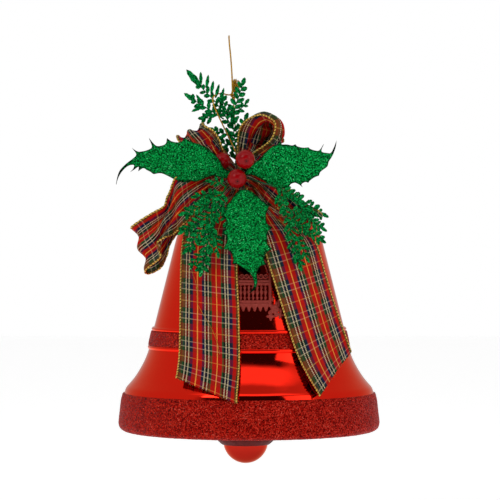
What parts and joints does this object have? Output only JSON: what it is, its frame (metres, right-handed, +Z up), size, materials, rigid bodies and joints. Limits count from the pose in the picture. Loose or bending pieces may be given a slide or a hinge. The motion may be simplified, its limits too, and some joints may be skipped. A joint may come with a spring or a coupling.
{
  "type": "christmas bell ornament",
  "caption": "Hanging bell ornament with a swinging ball clapper, a gold cord loop, a plaid ribbon bow with tails, glitter holly leaves, berries and feathery sprigs.",
  "frame": {"origin": "top of the gold hanging loop, on the inner side of the cord where a hook bears", "axes": "+Z up along the bell's axis, +X to the viewer's right when the bow faces the viewer, +Y away from the viewer; the bell's axis is 12 mm to +X of the origin"},
  "size_m": [0.1588, 0.1588, 0.2567],
  "materials": {
    "shell_red": "mirror metallised",
    "glitter_red": "glitter",
    "relief_rose": "satin",
    "cap_gold": "polished",
    "collar_dark": "satin",
    "ball_red": "mirror metallised",
    "cord_gold": "metallic twisted thread",
    "ribbon_plaid": "woven plaid with gold edge wire",
    "wire_green": "coated wire",
    "stem_green": "floral tape",
    "leaf_green": "glitter",
    "berry_red": "gloss lacquer"
  },
  "bodies": {
    "bell": {"bell_shell": "shell_red", "waist_band": "glitter_red", "rim_band": "glitter_red", "front_relief": "relief_rose", "crown_cap": "cap_gold", "crown_eye": "cap_gold", "clapper_hook": "cap_gold", "hanging_cord": "cord_gold", "cord_knot": "cord_gold", "cord_tassel": "cord_gold", "bow_loop_upper_left": "ribbon_plaid", "bow_loop_lower_left": "ribbon_plaid", "bow_loop_upper_right": "ribbon_plaid", "bow_loop_lower_right": "ribbon_plaid", "bow_knot": "ribbon_plaid", "bow_tie_wire": "wire_green", "tail_left": "ribbon_plaid", "tail_right": "ribbon_plaid", "floral_pick": "stem_green", "floral_wires": "wire_green", "holly_leaf_left": "leaf_green", "holly_leaf_right": "leaf_green", "holly_leaf_lower": "leaf_green", "berry_upper_left": "berry_red", "berry_upper_right": "berry_red", "berry_lower": "berry_red", "sprig_upper": "leaf_green", "sprig_lower_left": "leaf_green", "sprig_lower_right": "leaf_green"},
    "clapper_link": {"clapper_link": "cap_gold"},
    "clapper": {"clapper_rod": "cap_gold", "clapper_cap": "cap_gold", "clapper_collar": "collar_dark", "clapper_ball": "ball_red"}
  },
  "joints": [
    {"name": "clapper_swing_fore_aft", "type": "hinge", "parent": "bell", "child": "clapper_link", "pos_m": [0.01, 0, -0.1015], "axis": [1, 0, 0], "range_deg": [-16, 16]},
    {"name": "clapper_swing_side", "type": "hinge", "parent": "clapper_link", "child": "clapper", "pos_m": [0.01, 0, -0.1062], "axis": [0, 1, 0], "range_deg": [-16, 16]}
  ]
}
